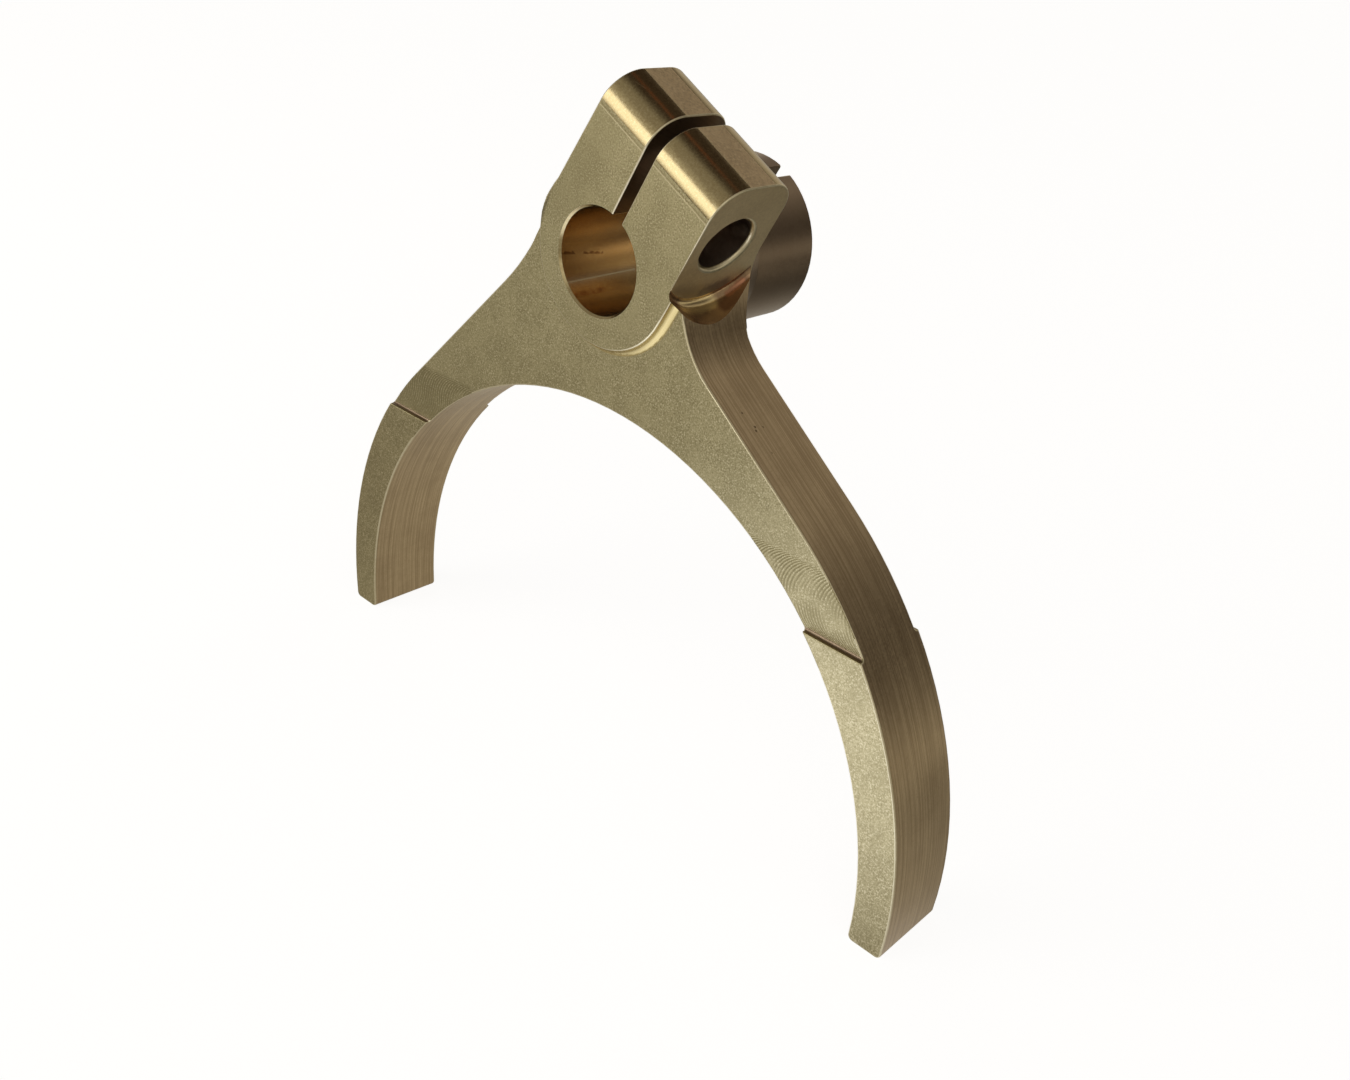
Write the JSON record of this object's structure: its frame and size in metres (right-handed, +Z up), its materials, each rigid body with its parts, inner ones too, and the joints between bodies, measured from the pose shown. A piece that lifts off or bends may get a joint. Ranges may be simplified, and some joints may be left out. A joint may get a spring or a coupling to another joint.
{
  "type": "transmission shift fork",
  "caption": "Brass shift fork with curved arms ending in proud pads, and a tilted split clamp with a rear boss that grips the shift rail.",
  "frame": {"origin": "on the axis of the rail bore, in the middle plane of the fork's plate", "axes": "+X towards the right arm, +Y along the rail from the clamp's front face to the boss, +Z up, away from the ends of the arms"},
  "size_m": [0.1238, 0.0316, 0.1075],
  "materials": {
    "brass": "machined, fine matte faces and milled sides"
  },
  "bodies": {
    "root": {"shift_fork": "brass"}
  },
  "joints": []
}
